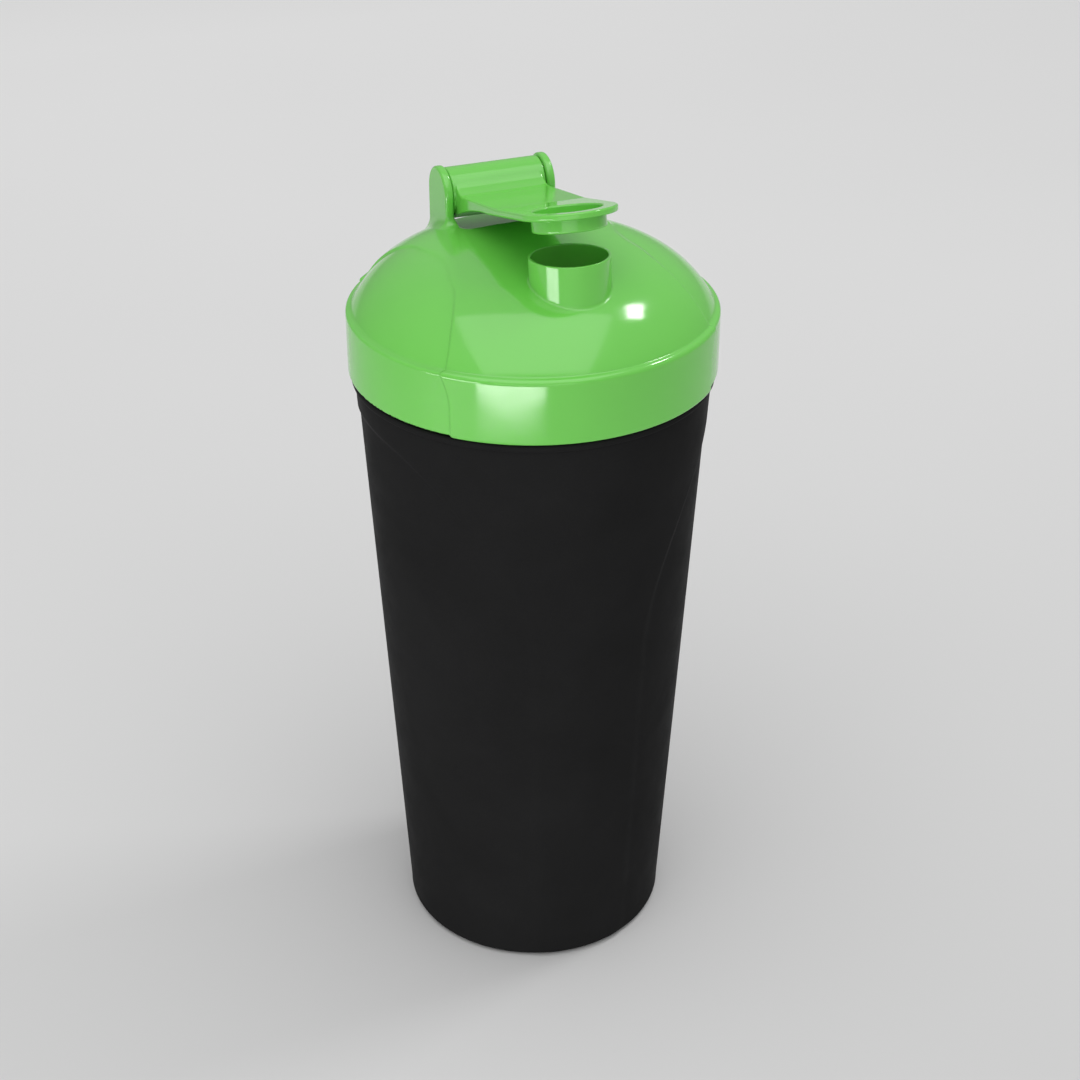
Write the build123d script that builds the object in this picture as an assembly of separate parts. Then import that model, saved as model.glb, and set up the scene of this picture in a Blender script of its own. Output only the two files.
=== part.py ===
from build123d import *
import os
from math import atan2, cos, radians, sin, sqrt

# Protein shaker bottle, about 700 ml. Millimetres, +Z up, spout towards -Y, origin at the
# centre of the base. A tapered cup takes a screw-on domed lid with a round spout, and a
# flip cap turns on a pin between two ears behind the spout. The cap is stored part open.

# ---- cup ----
BASE_R = 36.0            # outer radius where the wall would meet the ground
CUP_TAPER = 0.056        # growth of the radius per unit of height
CUP_WALL = 2.4
CUP_FLOOR = 2.6
CUP_BODY_H = 163.0       # ground to the underside of the shoulder bead
BASE_ROUND = 3.0
FOOT_W = 6.0             # flat ring that the cup stands on
FOOT_RISE = 1.4          # how far the middle of the base is pushed up
BEAD_H = 2.0
BEAD_PROUD = 0.9         # shoulder bead outside the wall
BEAD_ROUND = 0.8
NECK_H = 12.9            # from the top of the bead to the rim
NECK_STEP = 1.528        # how far the neck stands inside the wall below the bead
NECK_WALL = 1.6
GRIP_DEPTH = 0.5         # the grip panels lie this far below the front and back strips
STRIP_HALF_DEG = 21.5    # half the width of the front and back strips
GRIP_TOP_DROP = 6.4      # crown of the arch above each grip panel, below the bead
GRIP_CROWN_R = 66.0
GRIP_CORNER_R = 28.0

# ---- screw thread ----
THREAD_LEAD = 5.0
THREAD_H = 1.1           # how far a thread stands from its wall
THREAD_ROOT_W = 2.1
THREAD_TIP_W = 0.9
CUP_TURNS = 1.4
LID_TURNS = 1.2
THREAD_START = 1.8       # lid thread above the collar's lower edge
THREAD_RADIAL_GAP = 0.3
THREAD_FLANK_GAP = 0.1
THREAD_SINK = 0.3        # how deep a thread's root is buried in its wall

# ---- lid ----
LID_GAP = 0.5            # between the bead and the collar's lower edge
COLLAR_H = 16.7
COLLAR_WALL = 2.2
DOME_LEDGE = 1.532       # the dome starts this far inside the collar
DOME_ARC_R = 28.6        # shoulder of the dome
DOME_FOOT_DEG = 30.0     # how far the dome leans back where it starts
CROWN_R = 160.0
DOME_WALL = 2.0
CREASE_ROUND = 1.3
FOOT_SINK = 0.3          # how deep the dome's foot is buried in the collar
LID_PANEL_DEPTH = 0.5
LID_PANEL_HALF_DEG = 43.35
LID_PANEL_RISE = 14.0    # crown of the panel's arch above the crease
LID_PANEL_CROWN_R = 80.0
LID_PANEL_CORNER_R = 23.0
SEAT_H = 2.0             # room for the seal between rim and seat
LIP_H = 4.0              # short skirt that hangs inside the neck
LIP_W = 1.2
LIP_GAP = 0.3

# ---- seal and mixing grid ----
SEAL_GAP = 0.06
SEAL_IN = 0.15           # the seal starts this far outside the lip
SEAL_EDGE = 0.3
GRID_GAP = 0.12
GRID_REST = 0.3          # the ring sits this far above where the taper would wedge it
GRID_RING_H = 5.0
GRID_RING_W = 2.4
GRID_BAR_W = 1.6
GRID_BAR_H = 2.2
GRID_PITCH = 9.0
GRID_EYE_R = 10.5        # round opening in the middle of the grid
GRID_EDGE = 0.4

# ---- hinge ----
HINGE_INSET = 19.2       # hinge axis in from the collar's outside
HINGE_RISE = 4.73        # hinge axis above the top of the dome
EAR_WRAP = 0.6           # the ears are this much larger than the barrel
EAR_T = 2.2
EAR_INSIDE = 12.7        # from the middle plane to an ear's inner face
EAR_ROUND = 0.7
EAR_FOOT = 15.4          # hinge axis down to the ears' buried feet
PIN_R = 1.5
PIN_CHAMFER = 0.2
PIN_GAP = 0.06
PIN_BLIND = 1.3          # how far the pin reaches into the closed ear
POCKET_FRONT = 12.4      # pocket in the dome that the barrel sweeps through
POCKET_BACK = 14.0
POCKET_LEDGE = 0.7       # ledge left beside each ear
POCKET_DEPTH = 3.3       # room under the barrel
POCKET_CORNER_R = 3.0

# ---- flip cap ----
BARREL_R = 6.1
BARREL_SIDE_GAP = 0.15
BARREL_EDGE = 0.4
ARM_SIDE_STEP = 0.9      # the arm is this much narrower than the gap between the ears
ARM_T = 2.0
ARM_TOP = -0.3           # upper face of the arm, measured from the hinge axis
ARM_SWEEP_R = 6.0        # concave blend between barrel and arm
ARM_UNDER_R = 85.0       # long concave sweep under the arm
ARM_UNDER_START = 3.0
ARM_UNDER_LEVEL = 6.0    # level stretch under the arm before the bend
BEND_BACK = 17.0         # the bend lies this far behind the middle of the plug
BEND_DEG = 4.0           # the tongue is bent up from the arm
FLANGE_RUN = 4.0         # from the bend to where the flange has its full thickness
FLANGE_T = 1.6
PLUG_WALL = 0.7
PLUG_DEPTH = 3.3         # below the flange
PLUG_FLOOR = 1.2
PLUG_GAP = 0.25
PLUG_EDGE = 0.4
PLUG_MOUTH = 0.5         # flare at the mouth of the hollow plug
CLOSED_TILT = 1.0        # slope of the arm when the cap is shut
REST_OPEN = 10.5         # the cap is stored this far open

# ---- spout ----
SPOUT_INSET = 24.2       # middle of the plug in from the collar's outside
SPOUT_BORE_R = 9.15
SPOUT_WALL = 0.7
SPOUT_DEPTH = 16.0
SPOUT_RIM_ROUND = 0.2
SPOUT_SEAT_GAP = 0.3     # between the rim and the cap's flange when shut

# ---- places worked out from the sizes ----
BEAD_TOP = CUP_BODY_H + BEAD_H
RIM_Z = BEAD_TOP + NECK_H
NECK_R = BASE_R + CUP_TAPER * CUP_BODY_H - NECK_STEP
NECK_IN_R = NECK_R - NECK_WALL
BORE_FOOT_Z = (NECK_IN_R + GRIP_DEPTH + CUP_WALL - BASE_R) / CUP_TAPER
GRIP_TOP = CUP_BODY_H - GRIP_TOP_DROP
GRID_SEAT = BORE_FOOT_Z - GRID_GAP / CUP_TAPER + GRID_REST
THREAD_CREST_R = NECK_R + THREAD_H
LID_BORE_R = THREAD_CREST_R + THREAD_RADIAL_GAP
COLLAR_R = LID_BORE_R + COLLAR_WALL
COLLAR_Z = BEAD_TOP + LID_GAP
CREASE_Z = COLLAR_Z + COLLAR_H
SEAT_Z = RIM_Z + SEAT_H
RING_R = COLLAR_R - DOME_LEDGE - DOME_ARC_R * cos(radians(DOME_FOOT_DEG))
RING_Z = CREASE_Z - DOME_ARC_R * sin(radians(DOME_FOOT_DEG))
CROWN_Z = RING_Z - sqrt((CROWN_R - DOME_ARC_R) ** 2 - RING_R ** 2)
LID_PANEL_HALF = COLLAR_R * sin(radians(LID_PANEL_HALF_DEG))
HINGE_Y = COLLAR_R - HINGE_INSET
HINGE_Z = CROWN_Z + CROWN_R + HINGE_RISE
REACH = HINGE_Y + COLLAR_R - SPOUT_INSET
BEND_AT = REACH - BEND_BACK
ARM_UNDER_END = BEND_AT - ARM_UNDER_LEVEL
ARM_HALF_W = EAR_INSIDE - ARM_SIDE_STEP
EAR_R = BARREL_R + EAR_WRAP
EAR_OUTSIDE = EAR_INSIDE + EAR_T
POCKET_FLOOR_DROP = BARREL_R + POCKET_DEPTH
PLUG_R = SPOUT_BORE_R - PLUG_GAP
PIN_LENGTH = EAR_OUTSIDE + EAR_INSIDE + PIN_BLIND
LID_THREAD_Z = COLLAR_Z + THREAD_START
THREAD_SLOPE = (THREAD_ROOT_W - THREAD_TIP_W) / (THREAD_H + THREAD_SINK)
ROOTS_APART = LID_BORE_R - NECK_R + 2 * THREAD_SINK
THREADS_APART = THREAD_ROOT_W - THREAD_SLOPE * ROOTS_APART / 2 + THREAD_FLANK_GAP
CUP_THREAD_Z = LID_THREAD_Z + THREADS_APART
CAP_REST_TILT = CLOSED_TILT + REST_OPEN
# A cutting tool runs this far past the faces it goes through.
PAST = 1.0


def cup_r(z):
    """Outer radius of the cup's strips at height z."""
    return BASE_R + CUP_TAPER * z


def turned(points, rounds=()):
    """Turn an outline of (radius, height) points about Z, rounding chosen corners first.

    rounds holds (point, radius) pairs."""
    face = Plane.XZ * make_face(Polyline(*points, close=True))
    for (r, z), radius in rounds:
        corner = face.vertices().sort_by_distance((r, 0, z))[0]
        face = fillet(corner, radius)
    return revolve(face, Axis.Z)


def thread(radius, outwards, turns, z0):
    """A helical ridge of trapezoid section on a wall of the given radius."""
    side = 1 if outwards else -1
    root = radius - side * THREAD_SINK
    tip = radius + side * THREAD_H
    section = Plane.XZ * make_face(Polyline(
        (root, -THREAD_ROOT_W / 2),
        (tip, -THREAD_TIP_W / 2),
        (tip, THREAD_TIP_W / 2),
        (root, THREAD_ROOT_W / 2),
        close=True,
    ))
    path = Helix(THREAD_LEAD, turns * THREAD_LEAD, root)
    return Pos(0, 0, z0) * sweep(section, path, is_frenet=True)


# ---- cup ----
def cup_skin(inset):
    """Solid body of the cup up to the bead, drawn in by inset."""
    base_r, top_r = BASE_R - inset, cup_r(CUP_BODY_H) - inset
    points = [(0, 0), (base_r, 0), (top_r, CUP_BODY_H), (0, CUP_BODY_H)]
    return turned(points, [((base_r, 0), BASE_ROUND)])


def arch_prism(half_w, foot_z, leg_half_w, crown_z, crown_r, corner_r, side):
    """Arch-topped prism that runs out along X from the middle plane."""
    centre_z = crown_z - crown_r
    corner_y = leg_half_w - corner_r
    corner_z = centre_z + sqrt((crown_r - corner_r) ** 2 - corner_y ** 2)
    lean = atan2(corner_z - centre_z, corner_y)
    meet = (corner_y + corner_r * cos(lean), corner_z + corner_r * sin(lean))
    knee = (corner_y + corner_r * cos(lean / 2), corner_z + corner_r * sin(lean / 2))
    leg = (leg_half_w, corner_z)
    foot = (half_w, foot_z)
    edges = [
        Line(foot, leg),
        ThreePointArc(leg, knee, meet),
        ThreePointArc(meet, (0, crown_z), (-meet[0], meet[1])),
        ThreePointArc((-meet[0], meet[1]), (-knee[0], knee[1]), (-leg[0], leg[1])),
        Line((-leg[0], leg[1]), (-foot[0], foot[1])),
        Line((-foot[0], foot[1]), foot),
    ]
    return extrude(Plane.YZ * make_face(edges), side * 2 * COLLAR_R)


def make_cup():
    body = cup_skin(0)
    panel_skin = cup_skin(GRIP_DEPTH)
    leg = cos(radians(STRIP_HALF_DEG))
    leg_top = GRIP_TOP - GRIP_CORNER_R
    for side in (-1, 1):
        prism = arch_prism(BASE_R * leg, 0, cup_r(leg_top) * leg,
                           GRIP_TOP, GRIP_CROWN_R, GRIP_CORNER_R, side)
        body -= prism - panel_skin
    bead_r = cup_r(CUP_BODY_H) + BEAD_PROUD
    body += turned(
        [(0, CUP_BODY_H), (bead_r, CUP_BODY_H), (bead_r, BEAD_TOP), (0, BEAD_TOP)],
        [((bead_r, CUP_BODY_H), BEAD_ROUND), ((bead_r, BEAD_TOP), BEAD_ROUND)],
    )
    rim_round = NECK_WALL / 4
    body += turned(
        [(0, BEAD_TOP), (NECK_R, BEAD_TOP), (NECK_R, RIM_Z), (0, RIM_Z)],
        [((NECK_R, RIM_Z), rim_round)],
    )
    floor_z = CUP_FLOOR + FOOT_RISE
    floor_r = cup_r(floor_z) - GRIP_DEPTH - CUP_WALL
    top_z = RIM_Z + PAST
    body -= turned(
        [(0, floor_z), (floor_r, floor_z), (NECK_IN_R, BORE_FOOT_Z), (NECK_IN_R, top_z), (0, top_z)],
        [((floor_r, floor_z), BASE_ROUND)],
    )
    foot_in = BASE_R - BASE_ROUND - FOOT_W
    body -= turned([(0, 0), (foot_in, 0), (foot_in - FOOT_RISE, FOOT_RISE), (0, FOOT_RISE)])
    return body + thread(NECK_R, True, CUP_TURNS, CUP_THREAD_Z)


# ---- lid ----
def dome_arc_height(arc_r, r):
    """Height of the dome's shoulder arc at radius r."""
    return RING_Z + sqrt(arc_r ** 2 - (r - RING_R) ** 2)


def dome_solid(arc_r, bottom_z):
    """The dome as a solid: shoulder arc, tangent crown, straight down to bottom_z."""
    crown_r = CROWN_R + arc_r - DOME_ARC_R
    out = crown_r / (crown_r - arc_r)
    meet_r = RING_R * out
    meet_z = CROWN_Z + (RING_Z - CROWN_Z) * out
    foot_z = max(bottom_z, RING_Z)
    foot_r = RING_R + sqrt(arc_r ** 2 - (foot_z - RING_Z) ** 2)
    foot_lean = atan2(foot_z - RING_Z, foot_r - RING_R)
    meet_lean = atan2(meet_z - RING_Z, meet_r - RING_R)
    lean = (foot_lean + meet_lean) / 2
    shoulder = (RING_R + arc_r * cos(lean), RING_Z + arc_r * sin(lean))
    half = atan2(meet_r, meet_z - CROWN_Z) / 2
    crown_mid = (crown_r * sin(half), CROWN_Z + crown_r * cos(half))
    edges = [
        Line((0, foot_z), (foot_r, foot_z)),
        ThreePointArc((foot_r, foot_z), shoulder, (meet_r, meet_z)),
        ThreePointArc((meet_r, meet_z), crown_mid, (0, CROWN_Z + crown_r)),
        Line((0, CROWN_Z + crown_r), (0, foot_z)),
    ]
    return revolve(Plane.XZ * make_face(edges), Axis.Z)


def lid_skin(inset):
    """Outside of collar and dome as one solid, drawn in by inset."""
    collar_r = COLLAR_R - inset
    collar = turned(
        [(0, COLLAR_Z), (collar_r, COLLAR_Z), (collar_r, CREASE_Z), (0, CREASE_Z)],
        [((collar_r, CREASE_Z), CREASE_ROUND), ((collar_r, COLLAR_Z), CREASE_ROUND / 2)],
    )
    return collar + dome_solid(DOME_ARC_R - inset, CREASE_Z - FOOT_SINK)


def lid_hollow():
    """Space inside the lid: thread bore, seal seat, and the dome above it."""
    lip_out = NECK_IN_R - LIP_GAP
    lip_in = lip_out - LIP_W
    low_z = COLLAR_Z - PAST
    lip_z = SEAT_Z - LIP_H
    bore = turned([(0, low_z), (LID_BORE_R, low_z), (LID_BORE_R, SEAT_Z), (0, SEAT_Z)])
    lip = turned([(lip_in, lip_z), (lip_out, lip_z), (lip_out, SEAT_Z), (lip_in, SEAT_Z)])
    arc_r = DOME_ARC_R - DOME_WALL
    top_z = dome_arc_height(arc_r, lip_in)
    throat = turned([(0, SEAT_Z), (lip_in, SEAT_Z), (lip_in, top_z), (0, top_z)])
    dome = dome_solid(arc_r, top_z - PAST) & Cylinder(lip_in, 4 * RIM_Z)
    return bore - lip + throat + dome


# Cylinders that hang down from their frame, or stand up from it.
HANG = (Align.CENTER, Align.CENTER, Align.MAX)
STAND = (Align.CENTER, Align.CENTER, Align.MIN)


def hinge_place():
    """Frame on the hinge axis, in the middle between the ears."""
    return Pos(0, HINGE_Y, HINGE_Z)


def pin_place():
    """Frame at the pin's buried end, with Z along the hinge axis."""
    return hinge_place() * Pos(-EAR_INSIDE - PIN_BLIND, 0, 0) * Rot(0, 90, 0)


def ear(side):
    """One hinge ear, a plate with a round top that runs down into the dome."""
    plate = Rectangle(2 * EAR_R, EAR_FOOT, align=(Align.CENTER, Align.MAX)) + Circle(EAR_R)
    solid = extrude(Plane.YZ * plate, EAR_T)
    long_edges = solid.edges().filter_by(lambda e: e.length > EAR_R)
    rim = [e for e in long_edges if e.center().Z > -EAR_FOOT + EAR_T]
    solid = fillet(rim, EAR_ROUND)
    x = EAR_INSIDE if side > 0 else -EAR_OUTSIDE
    return hinge_place() * Pos(x, 0, 0) * solid


def pocket(grow):
    """Clearance in the dome for the turning barrel, grown all round by grow."""
    depth = POCKET_FRONT + POCKET_BACK + grow
    width = 2 * (EAR_INSIDE - POCKET_LEDGE + grow)
    block = Box(width, depth, 2 * COLLAR_H, align=(Align.CENTER, Align.MIN, Align.MIN))
    front = block.edges().filter_by(Axis.Z).group_by(Axis.Y)[0]
    block = fillet(front, POCKET_CORNER_R + grow)
    return hinge_place() * Pos(0, -POCKET_FRONT - grow, -POCKET_FLOOR_DROP - grow) * block


def spout_place():
    """Frame at the middle of the spout's rim, with the spout's axis as Z."""
    shut = hinge_place() * Rot(-CLOSED_TILT, 0, 0) * plug_place()
    return shut * Pos(0, 0, -FLANGE_T - SPOUT_SEAT_GAP)


def make_lid():
    body = lid_skin(0)
    panel_skin = lid_skin(LID_PANEL_DEPTH)
    for side in (-1, 1):
        prism = arch_prism(LID_PANEL_HALF, COLLAR_Z - PAST, LID_PANEL_HALF, CREASE_Z + LID_PANEL_RISE,
                           LID_PANEL_CROWN_R, LID_PANEL_CORNER_R, side)
        body -= prism - panel_skin
    body -= pocket(0)
    body += ear(-1) + ear(1)
    spout = Cylinder(SPOUT_BORE_R + SPOUT_WALL, SPOUT_DEPTH, align=HANG)
    body += spout_place() * fillet(spout.edges().group_by(Axis.Z)[-1], SPOUT_RIM_ROUND)
    body -= lid_hollow() - pocket(DOME_WALL)
    bore = Cylinder(SPOUT_BORE_R, 2 * SPOUT_DEPTH)
    body -= spout_place() * bore
    body -= pin_place() * Cylinder(PIN_R, PIN_LENGTH, align=STAND)
    return body + thread(LID_BORE_R, False, LID_TURNS, LID_THREAD_Z)


# ---- flip cap, drawn with the hinge axis along X at the origin and the arm towards -Y ----
def plug_place():
    """Frame on the tongue's upper face, over the middle of the plug."""
    bend = Pos(0, -BEND_AT, ARM_TOP) * Rot(-BEND_DEG, 0, 0)
    return bend * Pos(0, BEND_AT - REACH, 0)


def arm_side():
    """Side view of barrel, arm and tongue as a face in (reach, height)."""
    sweep_y = sqrt((BARREL_R + ARM_SWEEP_R) ** 2 - (ARM_SWEEP_R + ARM_TOP) ** 2)
    blend_centre = (sweep_y, ARM_TOP + ARM_SWEEP_R)
    share = BARREL_R / (BARREL_R + ARM_SWEEP_R)
    on_barrel = (blend_centre[0] * share, blend_centre[1] * share)
    on_arm = (sweep_y, ARM_TOP)
    mid_lean = (radians(90) + atan2(blend_centre[1], blend_centre[0])) / 2
    mid_y = blend_centre[0] - ARM_SWEEP_R * cos(mid_lean)
    blend_mid = (mid_y, blend_centre[1] - ARM_SWEEP_R * sin(mid_lean))
    rise, run = sin(radians(BEND_DEG)), cos(radians(BEND_DEG))
    tip_reach = REACH + ARM_HALF_W - BEND_AT
    tip_top = (BEND_AT + tip_reach * run, ARM_TOP + tip_reach * rise)
    tip_low = (tip_top[0] + FLANGE_T * rise, tip_top[1] - FLANGE_T * run)
    under = ARM_TOP - ARM_T
    flange_y = BEND_AT + FLANGE_RUN * run + FLANGE_T * rise
    flange_low = (flange_y, ARM_TOP + FLANGE_RUN * rise - FLANGE_T * run)

    def on_sweep(y):
        return (y, under - ARM_UNDER_R + sqrt(ARM_UNDER_R ** 2 - (ARM_UNDER_END - y) ** 2))

    sweep_start = on_sweep(ARM_UNDER_START)
    sweep_mid = on_sweep((ARM_UNDER_START + ARM_UNDER_END) / 2)
    sweep_end = on_sweep(ARM_UNDER_END)
    edges = [
        Line((0, 0), on_barrel),
        ThreePointArc(on_barrel, blend_mid, on_arm),
        Line(on_arm, (BEND_AT, ARM_TOP)),
        Line((BEND_AT, ARM_TOP), tip_top),
        Line(tip_top, tip_low),
        Line(tip_low, flange_low),
        Line(flange_low, sweep_end),
        ThreePointArc(sweep_end, sweep_mid, sweep_start),
        Line(sweep_start, (0, 0)),
    ]
    return make_face(edges)


def make_flip_cap():
    # The side view is drawn with reach to the right, so it is turned to face -Y.
    side_plane = Plane(origin=(-ARM_HALF_W, 0, 0), x_dir=(0, -1, 0), z_dir=(-1, 0, 0))
    arm = extrude(side_plane * arm_side(), -2 * ARM_HALF_W)
    plan = Pos(0, -REACH / 2, 0) * Box(2 * ARM_HALF_W, REACH, 8 * BARREL_R)
    plan += Pos(0, -REACH, 0) * Cylinder(ARM_HALF_W, 8 * BARREL_R)
    arm &= plan
    barrel_half = EAR_INSIDE - BARREL_SIDE_GAP
    barrel = Rot(0, 90, 0) * Cylinder(BARREL_R, 2 * barrel_half)
    cap = arm + fillet(barrel.edges(), BARREL_EDGE)
    plug = Cylinder(PLUG_R, PLUG_DEPTH + FLANGE_T, align=HANG)
    cap += plug_place() * fillet(plug.edges().group_by(Axis.Z)[0], PLUG_EDGE)
    recess_r = PLUG_R - PLUG_WALL
    recess = Cylinder(recess_r, FLANGE_T + PLUG_DEPTH - PLUG_FLOOR, align=HANG)
    recess += Cone(recess_r, recess_r + PLUG_MOUTH, PLUG_MOUTH, align=HANG)
    cap -= plug_place() * recess
    cap -= Rot(0, 90, 0) * Cylinder(PIN_R + PIN_GAP, 4 * EAR_INSIDE)
    return hinge_place() * Rot(-CAP_REST_TILT, 0, 0) * cap


def make_hinge_pin():
    pin = Cylinder(PIN_R, PIN_LENGTH, align=STAND)
    return pin_place() * chamfer(pin.edges().filter_by(GeomType.CIRCLE), PIN_CHAMFER)


def make_lid_seal():
    inner = NECK_IN_R - LIP_GAP + SEAL_IN
    outer = LID_BORE_R - SEAL_IN
    low, high = RIM_Z + SEAL_GAP, SEAT_Z - SEAL_GAP
    return turned([(inner, low), (outer, low), (outer, high), (inner, high)], [((outer, low), SEAL_EDGE)])


def make_mixing_grid():
    """Strainer that sits in the neck: a ring, crossing bars and a round eye."""
    outer = NECK_IN_R - GRID_GAP
    inner = outer - GRID_RING_W
    ring = turned([(inner, 0), (outer, 0), (outer, GRID_RING_H), (inner, GRID_RING_H)],
                  [((outer, 0), GRID_EDGE), ((outer, GRID_RING_H), GRID_EDGE)])
    eye = turned([(GRID_EYE_R - GRID_BAR_W, 0), (GRID_EYE_R, 0), (GRID_EYE_R, GRID_BAR_H),
                  (GRID_EYE_R - GRID_BAR_W, GRID_BAR_H)])
    count = int(inner // GRID_PITCH)
    bars = None
    for i in range(-count, count + 1):
        across = Pos(i * GRID_PITCH, 0, GRID_BAR_H / 2) * Box(GRID_BAR_W, 2 * outer, GRID_BAR_H)
        along = Pos(0, i * GRID_PITCH, GRID_BAR_H / 2) * Box(2 * outer, GRID_BAR_W, GRID_BAR_H)
        bars = across + along if bars is None else bars + across + along
    bars &= Cylinder((inner + outer) / 2, 4 * GRID_BAR_H)
    bars -= Cylinder(GRID_EYE_R - GRID_BAR_W / 2, 4 * GRID_BAR_H)
    return Pos(0, 0, GRID_SEAT) * (ring + bars + eye)


make_parts = {
    "cup": make_cup,
    "mixing_grid": make_mixing_grid,
    "lid": make_lid,
    "lid_seal": make_lid_seal,
    "hinge_pin": make_hinge_pin,
    "flip_cap": make_flip_cap,
}

os.makedirs("parts", exist_ok=True)
for node, make in make_parts.items():
    export_step(make(), f"parts/{node}.step")
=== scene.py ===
"""Looks of a protein shaker bottle: a satin black cup, a glossy green screw lid and its flip cap.

Lengths are millimetres in the shape functions and metres in the finished meshes. +Z is up and
the spout faces -Y."""

from math import atan, cos, hypot, pi, radians, sin, sqrt, tan

import bpy
import numpy as np
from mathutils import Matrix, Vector


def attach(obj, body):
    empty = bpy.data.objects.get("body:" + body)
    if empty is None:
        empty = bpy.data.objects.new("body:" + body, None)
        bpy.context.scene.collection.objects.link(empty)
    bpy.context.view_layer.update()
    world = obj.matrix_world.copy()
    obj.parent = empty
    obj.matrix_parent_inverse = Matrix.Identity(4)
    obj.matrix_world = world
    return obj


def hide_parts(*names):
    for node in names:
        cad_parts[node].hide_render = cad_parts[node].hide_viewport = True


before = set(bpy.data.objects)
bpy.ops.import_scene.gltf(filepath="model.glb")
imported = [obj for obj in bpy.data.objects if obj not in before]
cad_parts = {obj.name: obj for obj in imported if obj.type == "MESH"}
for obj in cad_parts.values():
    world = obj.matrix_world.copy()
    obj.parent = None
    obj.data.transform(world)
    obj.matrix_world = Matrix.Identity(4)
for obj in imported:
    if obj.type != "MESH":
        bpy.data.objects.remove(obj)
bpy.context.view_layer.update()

MM = 0.001

# ---- cup ----
BASE_R = 36.0
CUP_TAPER = 0.056
CUP_WALL = 2.4
CUP_FLOOR = 2.6
CUP_BODY_H = 163.0
BASE_ROUND = 3.0
FOOT_W = 6.0
FOOT_RISE = 1.4
BEAD_H = 2.0
BEAD_PROUD = 0.9
BEAD_ROUND = 0.8
NECK_H = 12.9
NECK_R = 43.6
NECK_WALL = 1.6
GRIP_DEPTH = 0.5
STRIP_HALF = radians(21.5)
GRIP_TOP = 156.6
GRIP_CROWN_R = 66.0
GRIP_CORNER_R = 28.0
GRIP_EDGE = 1.5          # width of the soft step at a panel's edge
SHADOW_GAP = 0.3         # the wall ends this far below the bead
NECK_FOOT_ROUND = 0.3
AXIS_R = 0.5             # radius of the small ring that closes the base and the floor

# ---- screw thread ----
THREAD_LEAD = 5.0
THREAD_H = 1.1
THREAD_ROOT_W = 2.1
THREAD_TIP_W = 0.9
CUP_TURNS = 1.4
LID_TURNS = 1.2
CUP_THREAD_Z = 168.64
LID_THREAD_Z = 167.3
THREAD_FADE = 0.35       # radians over which a thread runs out
THREAD_BACK = 1.0        # how far the lid's thread reaches into its wall

# ---- lid ----
COLLAR_Z = 165.5
COLLAR_H = 16.7
COLLAR_R = 47.2
DOME_ARC_R = 28.6
DOME_RING_R = 20.9
DOME_RING_DROP = 14.3
CROWN_R = 160.0
DOME_WALL = 2.0
CREASE_ROUND = 1.3
CREASE_FILLET = 0.25
DOME_FOOT_SINK = 1.0     # how deep the dome's foot is buried in the collar
LID_PANEL_DEPTH = 0.5
LID_PANEL_HALF = 32.4
LID_PANEL_TOP = 196.2
LID_PANEL_CROWN_R = 80.0
LID_PANEL_CORNER_R = 23.0
LID_PANEL_EDGE = 1.1
LID_BORE_R = 45.0
SEAT_Z = 179.9
LIP_OUT = 41.7
LIP_IN = 40.5
LIP_H = 4.0

# ---- hinge ----
HINGE_Y = 28.0
HINGE_Z = 202.9
EAR_R = 6.7
EAR_T = 2.2
EAR_INSIDE = 12.7
EAR_ROUND = 0.7
EAR_FOOT = 16.0
EAR_FLARE = 2.6
PIN_R = 1.5
PIN_BLIND = 1.3
POCKET_FRONT = 12.4
POCKET_BACK = 14.0
POCKET_HALF = 12.0
POCKET_FLOOR_DROP = 9.4
POCKET_CORNER_R = 3.0
POCKET_EDGE = 0.5

# ---- flip cap ----
BARREL_R = 6.1
BARREL_HALF = 12.55
BARREL_EDGE = 0.4
ARM_HALF_W = 11.8
ARM_T = 2.0
ARM_TOP = -0.3
ARM_SWEEP_R = 6.0
ARM_UNDER_R = 85.0
ARM_UNDER_END = 28.0
ARM_EDGE = 0.5
BEND_AT = 34.0
BEND = radians(4.0)
REACH = 51.0
FLANGE_T = 1.6
PLUG_R = 8.9
PLUG_WALL = 0.7
PLUG_DEPTH = 3.3
PLUG_FLOOR = 1.2
PLUG_MOUTH = 0.45
CLOSED_TILT = radians(1.0)
CAP_REST_TILT = radians(11.5)

# ---- spout ----
SPOUT_BORE_R = 9.15
SPOUT_WALL = 0.7
SPOUT_DEPTH = 16.0
SPOUT_EDGE = 0.2
SPOUT_SEAT_GAP = 0.3
SPOUT_FLARE = 0.4

# ---- how finely the shapes are meshed, in millimetres ----
CUP_COLUMNS = 600
FLAT_SPACING = 4.0
INSIDE_SPACING = 3.0
FOOT_SPACING = 0.8
WALL_SPACING = 0.6
STEP_SPACING = 0.5
BEAD_SPACING = 0.4
THREAD_SPACING = 0.22
SLOPE_REACH = 0.02
NORMAL_REACH = 0.06
MOST_DRIFT = 0.7         # share of a step that a point may settle by
LID_STEP = 0.36
CAP_STEP = 0.34
GRID_MARGIN = 1.5

BEAD_TOP = CUP_BODY_H + BEAD_H
RIM_Z = BEAD_TOP + NECK_H
NECK_IN_R = NECK_R - NECK_WALL
CREASE_Z = COLLAR_Z + COLLAR_H
RING_Z = CREASE_Z - DOME_RING_DROP


# ---- solid shapes as distance functions: below zero is inside ----
def round_both(a, b, r):
    """Where both shapes are, with their common edge rounded."""
    return np.minimum(-r, np.maximum(a, b)) + np.hypot(np.maximum(r + a, 0), np.maximum(r + b, 0))


def round_cut(a, b, r):
    """a without b, with the edge rounded."""
    return round_both(a, -b, r)


def round_union(a, b, r):
    """Either shape, with a fillet where they meet."""
    return np.maximum(r, np.minimum(a, b)) - np.hypot(np.maximum(r - a, 0), np.maximum(r - b, 0))


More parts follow.
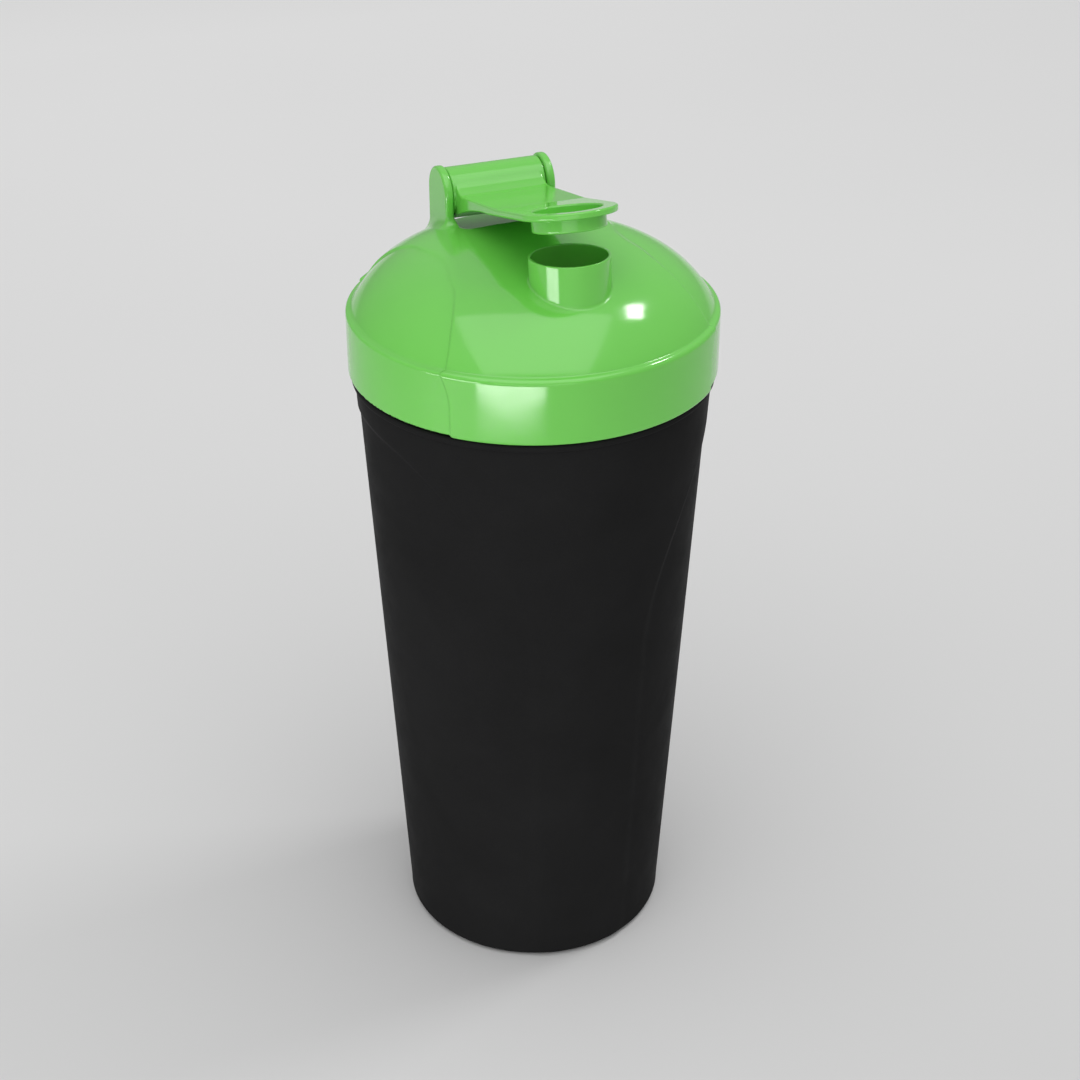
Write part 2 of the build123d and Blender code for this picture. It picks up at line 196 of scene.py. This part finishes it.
def soft_step(d, width):
    """1 inside, 0 outside, with a smooth step of the given width."""
    t = np.clip(0.5 - d / width, 0, 1)
    return t * t * (3 - 2 * t)


def rounded_box_2d(u, v, half_u, half_v, r):
    du = np.abs(u) - half_u + r
    dv = np.abs(v) - half_v + r
    return np.minimum(np.maximum(du, dv), 0) + np.hypot(np.maximum(du, 0), np.maximum(dv, 0)) - r


def turn_x(y, z, angle):
    """(y, z) turned about the X axis."""
    return y * cos(angle) - z * sin(angle), y * sin(angle) + z * cos(angle)


def thread_ridge(x, y, z, turns, z0):
    """How far a helical thread stands from its wall, 0 where there is none."""
    angle = np.arctan2(y, x) % (2 * pi)
    ridge = np.zeros_like(z)
    for lap in range(int(turns) + 1):
        along = angle + 2 * pi * lap
        dz = np.abs(z - z0 - THREAD_LEAD * along / (2 * pi))
        flank = (THREAD_ROOT_W - THREAD_TIP_W) / 2
        height = np.clip((THREAD_ROOT_W / 2 - dz) / flank, 0, 1)
        left = 2 * pi * turns - along
        fade = np.clip(along / THREAD_FADE, 0, 1) * np.clip(left / THREAD_FADE, 0, 1)
        ridge = np.maximum(ridge, THREAD_H * height * height * (3 - 2 * height) * fade)
    return ridge


def dome(rho, z):
    gap = CROWN_R - DOME_ARC_R
    crown_z = RING_Z - sqrt(gap ** 2 - DOME_RING_R ** 2)
    on_crown = rho * (RING_Z - crown_z) < DOME_RING_R * (z - crown_z)
    crown = np.hypot(rho, z - crown_z) - CROWN_R
    shoulder = np.hypot(rho - DOME_RING_R, z - RING_Z) - DOME_ARC_R
    return np.where(on_crown, crown, shoulder)


def dome_above(outer_dome, z):
    """The dome, cut off just below the crease."""
    return np.maximum(outer_dome, CREASE_Z - DOME_FOOT_SINK - z)


def collar(rho, z):
    middle = COLLAR_Z + COLLAR_H / 2
    r = np.where(z > middle, CREASE_ROUND, CREASE_ROUND / 2)
    dr = rho - COLLAR_R + r
    dz = np.abs(z - middle) - COLLAR_H / 2 + r
    return np.minimum(np.maximum(dr, dz), 0) + np.hypot(np.maximum(dr, 0), np.maximum(dz, 0)) - r


def lid_panel(y, z):
    """The arched side panel of the lid, in its side view."""
    crown_z = LID_PANEL_TOP - LID_PANEL_CROWN_R
    corner_y = LID_PANEL_HALF - LID_PANEL_CORNER_R
    corner_z = crown_z + sqrt((LID_PANEL_CROWN_R - LID_PANEL_CORNER_R) ** 2 - corner_y ** 2)
    out = np.abs(y)
    leg = out - LID_PANEL_HALF
    corner = np.hypot(out - corner_y, z - corner_z) - LID_PANEL_CORNER_R
    crown = np.hypot(y, z - crown_z) - LID_PANEL_CROWN_R
    beside = out * (corner_z - crown_z) > corner_y * (z - crown_z)
    return np.where(z < corner_z, leg, np.where(beside, corner, crown))


def spout_frame():
    """Middle of the spout's rim as (y, z), and the tilt of its axis."""
    tilt = CLOSED_TILT + BEND
    y, z = turn_x(0, -FLANGE_T - SPOUT_SEAT_GAP, -BEND)
    back_y, back_z = turn_x(BEND_AT - REACH, 0, -BEND)
    y, z = turn_x(y + back_y - BEND_AT, z + back_z + ARM_TOP, -CLOSED_TILT)
    return HINGE_Y + y, HINGE_Z + z, tilt


def pocket(x, y, z, grow):
    middle = HINGE_Y + (POCKET_BACK - POCKET_FRONT) / 2
    depth = (POCKET_FRONT + POCKET_BACK) / 2
    plan = rounded_box_2d(x, y - middle, POCKET_HALF + grow, depth + grow, POCKET_CORNER_R + grow)
    return round_both(plan, HINGE_Z - POCKET_FLOOR_DROP - grow - z, POCKET_EDGE)


def lid_shape(p):
    x, y, z = p
    rho = np.hypot(x, y)
    outer_dome = dome(rho, z)
    skin = round_union(collar(rho, z), dome_above(outer_dome, z), CREASE_FILLET)
    body = skin + LID_PANEL_DEPTH * soft_step(lid_panel(y, z), LID_PANEL_EDGE)

    foot = np.clip(z, HINGE_Z - EAR_FOOT, HINGE_Z)
    plate = np.hypot(y - HINGE_Y, z - foot) - EAR_R
    slab = np.abs(np.abs(x) - EAR_INSIDE - EAR_T / 2) - EAR_T / 2
    body = round_union(body, round_both(plate, slab, EAR_ROUND), EAR_FLARE)
    sweep = np.maximum(np.hypot(y - HINGE_Y, z - HINGE_Z) - EAR_R - POCKET_EDGE, np.abs(x) - EAR_INSIDE)
    body = np.maximum(body, -sweep)
    body = round_cut(body, pocket(x, y, z, 0), POCKET_EDGE)

    rim_y, rim_z, tilt = spout_frame()
    across, up = turn_x(y - rim_y, z - rim_z, tilt)
    from_axis = np.hypot(x, across)
    tube = round_both(from_axis - SPOUT_BORE_R - SPOUT_WALL, up, SPOUT_EDGE)
    body = round_union(body, np.maximum(tube, -SPOUT_DEPTH - up), SPOUT_FLARE)

    bore = np.maximum(rho - LID_BORE_R, z - SEAT_Z)
    inside = np.maximum(rho - LIP_IN, outer_dome + DOME_WALL)
    lip = np.maximum(np.maximum(rho - LIP_OUT, LIP_IN - rho), SEAT_Z - LIP_H - z)
    hollow = np.maximum(np.minimum(bore, inside), -lip)
    hollow = np.maximum(hollow, -pocket(x, y, z, DOME_WALL))
    body = np.maximum(body, -hollow)
    body = round_cut(body, np.maximum(from_axis - SPOUT_BORE_R, np.abs(up) - SPOUT_DEPTH), SPOUT_EDGE)
    pin = np.maximum(np.hypot(y - HINGE_Y, z - HINGE_Z) - PIN_R, -EAR_INSIDE - PIN_BLIND - x)
    body = np.maximum(body, -pin)
    ridge = thread_ridge(x, y, z, LID_TURNS, LID_THREAD_Z)
    grown = np.maximum(LID_BORE_R - ridge - rho, rho - LID_BORE_R - THREAD_BACK)
    grown = np.where(ridge > 0, np.maximum(grown, COLLAR_Z + CREASE_ROUND - z), 1.0)
    return np.minimum(body, grown)


def arm_heights(reach):
    """Upper and lower face of the arm and tongue at a distance from the hinge."""
    top = ARM_TOP + np.maximum(reach - BEND_AT, 0) * tan(BEND)
    curve = np.sqrt(ARM_UNDER_R ** 2 - np.clip(ARM_UNDER_END - reach, 0, ARM_UNDER_END) ** 2)
    low = ARM_TOP - ARM_T - ARM_UNDER_R + curve
    flange = top - FLANGE_T / cos(BEND)
    thin = np.clip((reach - ARM_UNDER_END) / (BEND_AT - ARM_UNDER_END), 0, 1)
    return top, low * (1 - thin) + flange * thin


def cap_shape(p):
    """The flip cap, with the hinge axis along X at the origin and the arm towards -Y."""
    x, y, z = p
    reach = -y
    top, low = arm_heights(reach)
    past = np.maximum(reach - REACH, 0)
    plan = np.maximum(np.hypot(x, past) - ARM_HALF_W, -reach)
    arm = round_both(np.maximum(z - top, low - z), plan, ARM_EDGE)
    sweep_y = sqrt((BARREL_R + ARM_SWEEP_R) ** 2 - (ARM_SWEEP_R + ARM_TOP) ** 2)
    sweep_z = ARM_TOP + ARM_SWEEP_R
    fill = ARM_SWEEP_R - np.hypot(reach - sweep_y, z - sweep_z)
    fill = np.maximum(fill, np.maximum(reach - sweep_y, ARM_TOP - 1 - z))
    fill = np.maximum(fill, (z * sweep_y - reach * sweep_z) / (BARREL_R + ARM_SWEEP_R))
    fill = round_both(fill, np.abs(x) - ARM_HALF_W, ARM_EDGE)
    axis = np.hypot(y, z)
    barrel = round_both(axis - BARREL_R, np.abs(x) - BARREL_HALF, BARREL_EDGE)
    cap = np.minimum(np.minimum(arm, fill), barrel)

    across, up = turn_x(y + BEND_AT, z - ARM_TOP, BEND)
    from_plug = np.hypot(x, across - BEND_AT + REACH)
    plug = round_both(from_plug - PLUG_R, -FLANGE_T - PLUG_DEPTH - up, ARM_EDGE)
    cap = np.minimum(cap, np.maximum(plug, up))
    floor = PLUG_FLOOR - FLANGE_T - PLUG_DEPTH - up
    recess = round_both(from_plug - PLUG_R + PLUG_WALL, floor, ARM_EDGE)
    cap = round_cut(cap, recess, PLUG_MOUTH)
    return np.maximum(cap, PIN_R - axis)


# ---- meshing ----
def grid_of(low, high, step):
    counts = [int(np.ceil((h - l) / step)) + 1 for l, h in zip(low, high)]
    return [l + step * np.arange(n) for l, n in zip(low, counts)]


def sample(shape, axes):
    """The shape's distance at every grid point, one slab of x at a time."""
    slabs = []
    for x in axes[0]:
        y, z = np.meshgrid(axes[1], axes[2], indexing="ij")
        slabs.append(shape((np.full_like(y, x), y, z)))
    return np.stack(slabs)


def surface_net(values, axes, step):
    """Points and quads of the zero surface, one point in each cell that it crosses."""
    inside = values < 0
    corner = [(i, j, k) for i in (0, 1) for j in (0, 1) for k in (0, 1)]
    shape = tuple(n - 1 for n in values.shape)
    count = np.zeros(shape, np.int8)
    for i, j, k in corner:
        count += inside[i:i + shape[0], j:j + shape[1], k:k + shape[2]]
    cells = np.argwhere((count > 0) & (count < 8))
    number = np.full(shape, -1, np.int64)
    number[tuple(cells.T)] = np.arange(len(cells))
    total = np.zeros((len(cells), 3))
    hits = np.zeros(len(cells))
    for a in corner:
        for axis in range(3):
            if a[axis]:
                continue
            b = list(a)
            b[axis] = 1
            va = values[tuple((cells + a).T)]
            vb = values[tuple((cells + b).T)]
            cross = (va < 0) != (vb < 0)
            t = np.where(cross, va / np.where(cross, va - vb, 1), 0)
            point = np.array(a, float) + np.zeros((len(cells), 3))
            point[:, axis] = t
            total += point * cross[:, None]
            hits += cross
    origin = np.array([a[0] for a in axes])
    points = origin + (cells + total / hits[:, None]) * step
    quads = []
    for axis in range(3):
        u, v = (axis + 1) % 3, (axis + 2) % 3
        first = np.take(inside, range(values.shape[axis] - 1), axis)
        second = np.take(inside, range(1, values.shape[axis]), axis)
        for flip, edges in ((False, first & ~second), (True, ~first & second)):
            at = np.argwhere(edges)
            at = at[(at[:, u] > 0) & (at[:, v] > 0) & (at[:, u] < values.shape[u] - 1)
                    & (at[:, v] < values.shape[v] - 1)]
            ring = []
            for du, dv in ((1, 1), (0, 1), (0, 0), (1, 0)):
                cell = at.copy()
                cell[:, u] -= du
                cell[:, v] -= dv
                ring.append(number[tuple(cell.T)])
            quad = np.stack(ring, 1)
            quads.append(quad[:, ::-1] if flip else quad)
    return points, np.concatenate(quads)


def slope(shape, points, reach):
    """Gradient of the distance at each point."""
    out = np.zeros_like(points)
    for axis in range(3):
        ahead, behind = points.copy(), points.copy()
        ahead[:, axis] += reach
        behind[:, axis] -= reach
        out[:, axis] = (shape(ahead.T) - shape(behind.T)) / (2 * reach)
    return out


def settle(shape, points, step, rounds=4):
    """Points moved onto the exact surface, and the surface's normals there."""
    start = points.copy()
    for _ in range(rounds):
        g = slope(shape, points, SLOPE_REACH)
        size = np.maximum((g ** 2).sum(1), 0.25)
        move = (shape(points.T) / size)[:, None] * g
        points = points - np.clip(move, -step / 2, step / 2)
        points = start + np.clip(points - start, -step * MOST_DRIFT, step * MOST_DRIFT)
    g = slope(shape, points, NORMAL_REACH)
    return points, g / np.maximum(np.linalg.norm(g, axis=1), 1e-6)[:, None]


def mesh_object(name, points, faces, normals=None):
    """A smooth mesh from points in millimetres."""
    mesh = bpy.data.meshes.new(name)
    mesh.from_pydata((points * MM).tolist(), [], faces)
    mesh.validate()
    mesh.shade_smooth()
    if normals is not None:
        mesh.normals_split_custom_set_from_vertices(normals.tolist())
    mesh.update()
    obj = bpy.data.objects.new(name, mesh)
    bpy.context.scene.collection.objects.link(obj)
    return obj


def solid_from(shape, name, low, high, step, place=None):
    axes = grid_of(low, high, step)
    points, quads = surface_net(sample(shape, axes), axes, step)
    points, normals = settle(shape, points, step)
    if place is not None:
        points, normals = place(points, normals)
    return mesh_object(name, points, quads.tolist(), normals)


# ---- cup ----
def cup_wall_r(z):
    return BASE_R + CUP_TAPER * z


def arc(centre_r, centre_z, radius, start, end, count):
    """Points along an arc, angles in degrees, 0 outwards and 90 up."""
    turn = np.radians(np.linspace(start, end, count))
    return list(zip(centre_r + radius * np.cos(turn), centre_z + radius * np.sin(turn)))


def run(start, end, spacing):
    """Points along a straight stretch, the last one left out."""
    count = max(2, int(np.ceil(hypot(end[0] - start[0], end[1] - start[1]) / spacing)) + 1)
    r = np.linspace(start[0], end[0], count)[:-1]
    z = np.linspace(start[1], end[1], count)[:-1]
    return list(zip(r, z))


def cup_outline():
    """Outline of the cup as (radius, height) from the middle of the base, outside, over the rim,
    and down to the middle of the floor inside."""
    lean = np.degrees(atan(CUP_TAPER))
    foot_in = BASE_R - BASE_ROUND - FOOT_W
    base_r = cup_wall_r(BASE_ROUND) - BASE_ROUND / cos(atan(CUP_TAPER))
    points = run((AXIS_R, FOOT_RISE), (foot_in - FOOT_RISE, FOOT_RISE), FLAT_SPACING)
    points += run((foot_in - FOOT_RISE, FOOT_RISE), (foot_in, 0), STEP_SPACING)
    points += run((foot_in, 0), (base_r, 0), FOOT_SPACING)
    base = arc(base_r, BASE_ROUND, BASE_ROUND, -90, -lean, 9)
    points += base
    bead_r = cup_wall_r(CUP_BODY_H) + BEAD_PROUD
    wall_z = CUP_BODY_H - SHADOW_GAP
    wall_r = cup_wall_r(wall_z)
    points += run(base[-1], (wall_r, wall_z), WALL_SPACING)[1:]
    points += [(wall_r, wall_z), (wall_r + 0.06, wall_z + 0.22), (wall_r + 0.25, wall_z + SHADOW_GAP)]
    points += arc(bead_r - BEAD_ROUND, CUP_BODY_H + BEAD_ROUND, BEAD_ROUND, -80, 0, 7)
    points += arc(bead_r - BEAD_ROUND, BEAD_TOP - BEAD_ROUND, BEAD_ROUND, 0, 90, 8)
    neck_foot_r = NECK_R + NECK_FOOT_ROUND
    points += run((bead_r - BEAD_ROUND - 0.3, BEAD_TOP), (neck_foot_r, BEAD_TOP), BEAD_SPACING)
    points += arc(neck_foot_r, BEAD_TOP + NECK_FOOT_ROUND, NECK_FOOT_ROUND, -90, -180, 4)
    rim = NECK_WALL / 4
    points += run((NECK_R, BEAD_TOP + 0.5), (NECK_R, RIM_Z - rim), THREAD_SPACING)
    points += arc(NECK_R - rim, RIM_Z - rim, rim, 0, 90, 5)
    points += arc(NECK_IN_R + rim, RIM_Z - rim, rim, 90, 180, 5)
    inset = GRIP_DEPTH + CUP_WALL
    straight_z = (NECK_IN_R + inset - BASE_R) / CUP_TAPER
    floor_z = CUP_FLOOR + FOOT_RISE
    points += run((NECK_IN_R, RIM_Z - 2 * rim), (NECK_IN_R, straight_z), 1)
    corner_r = cup_wall_r(floor_z + BASE_ROUND) - inset - BASE_ROUND
    points += run((NECK_IN_R, straight_z), (corner_r + BASE_ROUND, floor_z + BASE_ROUND), INSIDE_SPACING)
    points += arc(corner_r, floor_z + BASE_ROUND, BASE_ROUND, 0, -90, 9)
    points += run((corner_r - 0.6, floor_z), (AXIS_R, floor_z), FLAT_SPACING)
    return points


def grip_panel(y, z):
    """The arch-topped grip panel of the cup, in its side view."""
    leg_top = GRIP_TOP - GRIP_CORNER_R
    foot = BASE_R * cos(STRIP_HALF)
    leg = foot + (cup_wall_r(leg_top) * cos(STRIP_HALF) - foot) * z / leg_top
    crown = np.hypot(y, np.maximum(z - GRIP_TOP + GRIP_CROWN_R, 0)) - GRIP_CROWN_R
    return round_both(np.abs(y) - leg, crown, GRIP_CORNER_R)


def make_cup():
    columns = CUP_COLUMNS
    outline = np.array(cup_outline())
    rim_row = int(np.argmax(outline[:, 1]))
    turn = np.linspace(0, 2 * pi, columns, endpoint=False)
    r = np.repeat(outline[:, :1], columns, 1)
    z = np.repeat(outline[:, 1:], columns, 1)
    outside = (np.arange(len(outline)) <= rim_row)[:, None]
    on_wall = outside & (z <= CUP_BODY_H - 0.1)
    panel = grip_panel(r * np.sin(turn), z)
    base_fade = np.clip(z / BASE_ROUND, 0, 1)
    r = r - np.where(on_wall, GRIP_DEPTH * soft_step(panel, GRIP_EDGE) * base_fade, 0)
    x, y = r * np.cos(turn), r * np.sin(turn)
    on_neck = outside & (z > BEAD_TOP + 0.4)
    ridge = thread_ridge(x, y, z, CUP_TURNS, CUP_THREAD_Z)
    r = r + np.where(on_neck, ridge, 0)
    points = np.stack([r * np.cos(turn), r * np.sin(turn), z], 2).reshape(-1, 3)
    rows = len(outline)
    at = np.arange(rows * columns).reshape(rows, columns)
    after = np.roll(at, -1, 1)
    quads = np.stack([at[:-1], after[:-1], after[1:], at[1:]], 2).reshape(-1, 4)
    low, high = rows * columns, rows * columns + 1
    points = np.vstack([points, [0, 0, outline[0, 1]], [0, 0, outline[-1, 1]]])
    faces = quads.tolist()
    faces += [[low, b, a] for a, b in zip(at[0].tolist(), after[0].tolist())]
    faces += [[high, a, b] for a, b in zip(at[-1].tolist(), after[-1].tolist())]
    return mesh_object("cup_shell", points, faces)


def make_lid():
    step = LID_STEP
    half = COLLAR_R + GRID_MARGIN
    low = (-half, -half, COLLAR_Z - GRID_MARGIN)
    high = (half, half, HINGE_Z + EAR_R + GRID_MARGIN)
    return solid_from(lid_shape, "lid_shell", low, high, step)


def make_flip_cap():
    step = CAP_STEP

    def place(points, normals):
        tilted = []
        for a in (points, normals):
            y, z = turn_x(a[:, 1], a[:, 2], -CAP_REST_TILT)
            tilted.append(np.stack([a[:, 0], y, z], 1))
        return tilted[0] + (0, HINGE_Y, HINGE_Z), tilted[1]

    low = (-BARREL_HALF - 1, -REACH - ARM_HALF_W - 1, -BARREL_R - 1)
    high = (BARREL_HALF + 1, BARREL_R + 1, BARREL_R + 1)
    return solid_from(cap_shape, "flip_cap_shell", low, high, step, place)


# ---- materials ----
def node(tree, kind, inputs=(), **settings):
    made = tree.nodes.new(kind)
    for key, value in settings.items():
        setattr(made, key, value)
    for key, value in inputs:
        if isinstance(value, bpy.types.NodeSocket):
            tree.links.new(value, made.inputs[key])
        else:
            made.inputs[key].default_value = value
    return made


def noise(tree, where, scale, detail=3.0, rough=0.55):
    return node(tree, "ShaderNodeTexNoise", [("Vector", where), ("Scale", scale), ("Detail", detail),
                                             ("Roughness", rough)]).outputs["Fac"]


def remap(tree, value, low, high, to_low, to_high):
    return node(tree, "ShaderNodeMapRange", [("Value", value), ("From Min", low), ("From Max", high),
                                             ("To Min", to_low), ("To Max", to_high)]).outputs["Result"]


def plastic(name, colour, shade, gloss, grain, ior=1.49, soft=0.0):
    """Moulded plastic: slow colour drift, fine grain, and worn spots that are less shiny.

    colour and shade are the two ends of the drift, gloss the lowest and highest roughness, and
    grain is (height in metres, scale) of the surface texture."""
    material = bpy.data.materials.new(name)
    material.use_nodes = True
    tree = material.node_tree
    shader = tree.nodes["Principled BSDF"]
    where = node(tree, "ShaderNodeTexCoord").outputs["Object"]
    drift = noise(tree, where, 38, 4)
    mixed = node(tree, "ShaderNodeMix", data_type="RGBA")
    tree.links.new(remap(tree, drift, 0.3, 0.7, 0, 1), mixed.inputs["Factor"])
    mixed.inputs["A"].default_value = (*colour, 1)
    mixed.inputs["B"].default_value = (*shade, 1)
    tree.links.new(mixed.outputs["Result"], shader.inputs["Base Color"])
    handling = noise(tree, where, 120, 6, 0.7)
    tree.links.new(remap(tree, handling, 0.35, 0.75, gloss[0], gloss[1]), shader.inputs["Roughness"])
    texture = noise(tree, where, grain[1], 2)
    bump = node(tree, "ShaderNodeBump", [("Strength", 1.0), ("Distance", grain[0]), ("Height", texture)])
    tree.links.new(bump.outputs["Normal"], shader.inputs["Normal"])
    shader.inputs["IOR"].default_value = ior
    if soft:
        shader.inputs["Subsurface Weight"].default_value = soft
        shader.inputs["Subsurface Radius"].default_value = (0.6, 1.0, 0.35)
        shader.inputs["Subsurface Scale"].default_value = 0.003
    return material


def finish_with(obj, material):
    obj.data.materials.clear()
    obj.data.materials.append(material)


# ---- the object ----
cup = make_cup()
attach(cup, "cup")
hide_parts("cup")

lid = make_lid()
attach(lid, "lid")
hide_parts("lid")

flip_cap = make_flip_cap()
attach(flip_cap, "flip_cap")
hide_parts("flip_cap")

GREEN = (0.155, 0.585, 0.08)
GREEN_SHADE = (0.147, 0.565, 0.075)
BLACK = (0.0135, 0.0135, 0.0137)
BLACK_SHADE = (0.0165, 0.0165, 0.0168)
GREY = (0.045, 0.045, 0.048)
GREY_SHADE = (0.06, 0.06, 0.063)
WHITE = (0.62, 0.62, 0.6)
WHITE_SHADE = (0.55, 0.55, 0.53)
lid_plastic = plastic("lid_green", GREEN, GREEN_SHADE, (0.10, 0.16), (0.00001, 260),
                      ior=1.65, soft=0.1)
cup_plastic = plastic("cup_black", BLACK, BLACK_SHADE, (0.42, 0.56), (0.00003, 2600), ior=1.05)
finish_with(lid, lid_plastic)
finish_with(flip_cap, lid_plastic)
finish_with(cup, cup_plastic)
pin_plastic = plastic("pin_green", GREEN_SHADE, GREEN, (0.2, 0.32), (0.00003, 900))
grid_plastic = plastic("grid_grey", GREY, GREY_SHADE, (0.35, 0.5), (0.00003, 1800))
seal_rubber = plastic("seal_white", WHITE, WHITE_SHADE, (0.5, 0.65), (0.00004, 1500), soft=0.1)
finish_with(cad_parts["hinge_pin"], pin_plastic)
finish_with(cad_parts["mixing_grid"], grid_plastic)
finish_with(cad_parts["lid_seal"], seal_rubber)


# ---- floor, light and camera ----
FLOOR_R = 4.0
FLOOR_SIDES = 96
SKY_LOW = 0.32
SKY_HIGH = 0.75


def make_floor():
    """A pale round floor with painted shade: its colour is darker towards the viewer and lighter far
    away, standing in for how the light falls off across it.
    """
    turns = np.linspace(0, 2 * pi, FLOOR_SIDES, endpoint=False)
    points = [(FLOOR_R * cos(a), FLOOR_R * sin(a), 0.0) for a in turns]
    floor = mesh_object("floor", np.array(points) / MM, [list(range(len(points)))])
    material = bpy.data.materials.new("floor_pale")
    material.use_nodes = True
    tree = material.node_tree
    where = node(tree, "ShaderNodeTexCoord").outputs["Object"]
    depth = node(tree, "ShaderNodeSeparateXYZ", [("Vector", where)]).outputs["Y"]
    # painted shade: the floor's grey ramps from dark near the viewer to light far away in place of a
    # lighting gradient
    sweep = remap(tree, depth, -0.3, 0.9, 0.54, 0.88)
    mottle = remap(tree, noise(tree, where, 2.5, 2), 0.3, 0.7, 0.99, 1.01)
    shade = node(tree, "ShaderNodeMath", [(0, sweep), (1, mottle)], operation="MULTIPLY").outputs["Value"]
    grey = node(tree, "ShaderNodeCombineColor", [("Red", shade), ("Green", shade), ("Blue", shade)])
    shader = tree.nodes["Principled BSDF"]
    tree.links.new(grey.outputs["Color"], shader.inputs["Base Color"])
    shader.inputs["Roughness"].default_value = 0.75
    finish_with(floor, material)


def make_sky():
    """A plain surround that grows brighter from the horizon up to overhead."""
    world = bpy.data.worlds.new("studio")
    world.use_nodes = True
    tree = world.node_tree
    where = node(tree, "ShaderNodeTexCoord").outputs["Generated"]
    up = node(tree, "ShaderNodeSeparateXYZ", [("Vector", where)])
    strength = remap(tree, up.outputs["Z"], 0, 1, SKY_LOW, SKY_HIGH)
    tree.links.new(strength, tree.nodes["Background"].inputs["Strength"])
    tree.nodes["Background"].inputs["Color"].default_value = (1, 1, 1, 1)
    bpy.context.scene.world = world


def soft_light(name, azimuth, elevation, distance, size, watts, aim=(0, 0, 0.15)):
    """A rectangular soft light. Azimuth 0 is in front of the spout and 90 on the +X side."""
    data = bpy.data.lights.new(name, "AREA")
    data.shape = "RECTANGLE"
    data.size, data.size_y = size
    data.energy = watts
    light = bpy.data.objects.new(name, data)
    a, e = radians(azimuth), radians(elevation)
    away = Vector((sin(a) * cos(e), -cos(a) * cos(e), sin(e)))
    light.location = Vector(aim) + away * distance
    light.visible_camera = False
    light.rotation_mode = "QUATERNION"
    light.rotation_quaternion = away.to_track_quat("Z", "Y")
    bpy.context.scene.collection.objects.link(light)
    return light


def make_camera():
    data = bpy.data.cameras.new("camera")
    data.sensor_width = 36.0
    data.lens = 67.18
    data.clip_start, data.clip_end = 0.02, 20
    camera = bpy.data.objects.new("camera", data)
    camera.location = (-0.1727, -0.4321, 0.3803)
    camera.rotation_mode = "QUATERNION"
    camera.rotation_quaternion = Vector((0.3249, 0.8042, -0.4976)).to_track_quat("-Z", "Y")
    bpy.context.scene.collection.objects.link(camera)
    bpy.context.scene.camera = camera


make_floor()
make_camera()
make_sky()
bpy.context.scene.view_settings.view_transform = "Standard"
soft_light("overhead", -20, 70, 1.5, (1.8, 1.8), 11)
soft_light("front_soft", -20, 2, 1.4, (1.2, 0.5), 1.8)
soft_light("right_box", 93, 51, 1.0, (0.22, 0.13), 1.7)
soft_light("front_side", -68, -9, 0.5, (0.3, 0.08), 0.46)
soft_light("front_low", -34, -24, 0.32, (0.2, 0.022), 0.11, aim=(0, 0, 0.195))
